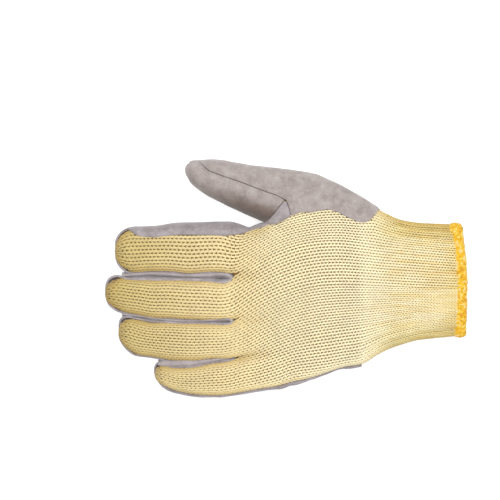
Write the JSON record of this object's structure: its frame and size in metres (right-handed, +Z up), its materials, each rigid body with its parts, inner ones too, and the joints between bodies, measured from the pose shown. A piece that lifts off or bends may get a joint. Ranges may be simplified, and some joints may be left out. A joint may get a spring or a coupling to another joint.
{
  "type": "leather palm knit work glove",
  "caption": "Left-hand string-knit work glove lying palm down, with a split leather palm, finger fronts and thumb sewn over the knit and an overlocked cuff.",
  "frame": {"origin": "on the surface under the middle of the glove's box", "axes": "+X from the fingertips to the cuff, +Y from the little finger toward the thumb, +Z up through the back of the hand"},
  "size_m": [0.244, 0.1652, 0.027],
  "materials": {
    "knit_yarn": "pale yellow seven gauge string knit, matt, mustard at the fingertips and cream at the cuff",
    "hem_yarn": "orange yellow overlock yarn, matt",
    "palm_leather": "lilac grey split cowhide, napped and matt",
    "thumb_leather": "warm grey split cowhide, napped and matt"
  },
  "bodies": {
    "root": {"knit_hand": "knit_yarn", "knit_index": "knit_yarn", "knit_middle": "knit_yarn", "knit_ring": "knit_yarn", "knit_little": "knit_yarn", "knit_thumb": "knit_yarn", "cuff_hem": "hem_yarn", "palm_panel": "palm_leather", "middle_finger_panel": "palm_leather", "ring_finger_panel": "palm_leather", "little_finger_panel": "palm_leather", "index_middle_fourchette": "palm_leather", "middle_ring_fourchette": "palm_leather", "ring_little_fourchette": "palm_leather", "thumb_outer_panel": "thumb_leather", "thumb_inner_panel": "thumb_leather"}
  },
  "joints": []
}
